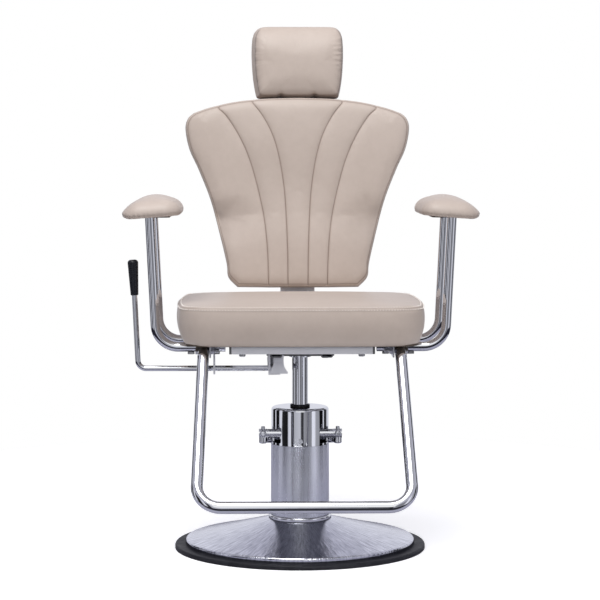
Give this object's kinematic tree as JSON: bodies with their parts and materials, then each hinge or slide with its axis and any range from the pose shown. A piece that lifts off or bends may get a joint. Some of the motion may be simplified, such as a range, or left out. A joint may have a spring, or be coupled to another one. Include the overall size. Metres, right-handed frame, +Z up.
{
  "type": "hydraulic barber chair",
  "caption": "Padded chair on a hydraulic column with a round base, swivel seat, reclining back, sliding headrest, footrest bar and foot pump",
  "frame": {"origin": "on the floor, on the axis of the lifting column, in the plane of the base ring's underside", "axes": "+Z up the column, -Y the way the sitter faces, +X the sitter's left"},
  "size_m": [0.783, 0.8173, 1.1805],
  "materials": {
    "black_rubber": "moulded, matt",
    "bright_chrome": "bright chrome plate",
    "satin_steel": "satin plated",
    "plain_steel": "machined",
    "zinc_fasteners": "zinc plate",
    "cast_ballast": "cast, oiled",
    "gland_bronze": "turned",
    "dark_frame_paint": "black paint",
    "grey_leather": "soft grain upholstery leather",
    "plywood": "plain",
    "black_grip": "moulded, low sheen"
  },
  "bodies": {
    "base": {"base_rubber_ring": "black_rubber", "base_cover": "bright_chrome", "ballast_plate": "cast_ballast", "pump_cylinder": "plain_steel", "foot_bolts": "zinc_fasteners", "column_collar": "bright_chrome", "pump_sleeve": "satin_steel", "ram_gland": "gland_bronze", "wiper_seal": "black_rubber", "pump_cap": "bright_chrome", "cap_screw": "bright_chrome", "plunger_barrel": "plain_steel"},
    "pedal": {"cross_shaft": "bright_chrome", "pump_rocker": "plain_steel", "pedal_yoke": "bright_chrome", "yoke_set_screws": "bright_chrome", "yoke_dome_screws": "bright_chrome", "pedal_plate": "bright_chrome", "pedal_pad": "black_rubber"},
    "plunger": {"pump_plunger": "plain_steel"},
    "piston": {"piston_head": "plain_steel", "piston_seal": "black_rubber", "thrust_washer": "gland_bronze"},
    "seat": {"ram": "bright_chrome", "swivel_plate": "dark_frame_paint", "swivel_bolts": "zinc_fasteners", "frame_bearers": "dark_frame_paint", "seat_frame": "satin_steel", "frame_side_bars": "dark_frame_paint", "frame_bolts": "zinc_fasteners", "seat_board": "plywood", "seat_cushion": "grey_leather", "arm_tube_left_front": "bright_chrome", "arm_tube_left_rear": "bright_chrome", "arm_tube_right_front": "bright_chrome", "arm_tube_right_rear": "bright_chrome", "arm_bolts": "zinc_fasteners", "arm_plates": "plywood", "arm_pad_left": "grey_leather", "arm_pad_right": "grey_leather", "footrest_bar": "bright_chrome", "footrest_bolts": "zinc_fasteners", "footrest_lugs": "satin_steel", "hinge_pin": "satin_steel", "release_bracket": "dark_frame_paint", "gas_rod": "satin_steel", "lever_hanger": "dark_frame_paint"},
    "backrest": {"back_bracket": "satin_steel", "crank_pin": "satin_steel", "back_board": "plywood", "back_cushion": "grey_leather", "bracket_screws": "zinc_fasteners", "headrest_guides": "plain_steel"},
    "lock": {"gas_cylinder": "dark_frame_paint"},
    "headrest": {"headrest_frame": "satin_steel", "headrest_board": "plywood", "headrest_cushion": "grey_leather"},
    "lever": {"lever_rod": "bright_chrome", "lever_grip": "black_grip", "lever_cam": "plain_steel"}
  },
  "joints": [
    {"name": "lift", "type": "slide", "parent": "base", "child": "piston", "axis": [0, 0, 1], "range_m": [-0.06, 0.09]},
    {"name": "swivel", "type": "hinge", "parent": "piston", "child": "seat", "pos_m": [0, 0, 0.127], "axis": [0, 0, 1], "continuous": true},
    {"name": "pedal_rock", "type": "hinge", "parent": "base", "child": "pedal", "pos_m": [0, -0.038, 0.26], "axis": [-1, 0, 0], "range_deg": [0, 15], "stiffness_Nm_per_rad": 30, "springref_deg": -8.59},
    {"name": "plunger_stroke", "type": "slide", "parent": "base", "child": "plunger", "axis": [0, 0, 1], "range_m": [0, 0.0042]},
    {"name": "recline", "type": "hinge", "parent": "seat", "child": "backrest", "pos_m": [0, 0.205, 0.453], "axis": [-1, 0, 0], "range_deg": [0, 50]},
    {"name": "lock_slide", "type": "slide", "parent": "seat", "child": "lock", "axis": [0, -1, 0], "range_m": [0, 0.0445]},
    {"name": "headrest_slide", "type": "slide", "parent": "backrest", "child": "headrest", "axis": [0, 0.1564, 0.9877], "range_m": [0, 0.09]},
    {"name": "lever_pull", "type": "hinge", "parent": "seat", "child": "lever", "pos_m": [0, -0.078, 0.41], "axis": [-1, 0, 0], "range_deg": [0, 20], "stiffness_Nm_per_rad": 4, "springref_deg": -8.59}
  ],
  "couplings": [
    {"joint": "plunger_stroke", "follows": "pedal_rock", "m_per_rad": 0.0155},
    {"joint": "lock_slide", "follows": "recline", "m_per_rad": 0.0504}
  ]
}
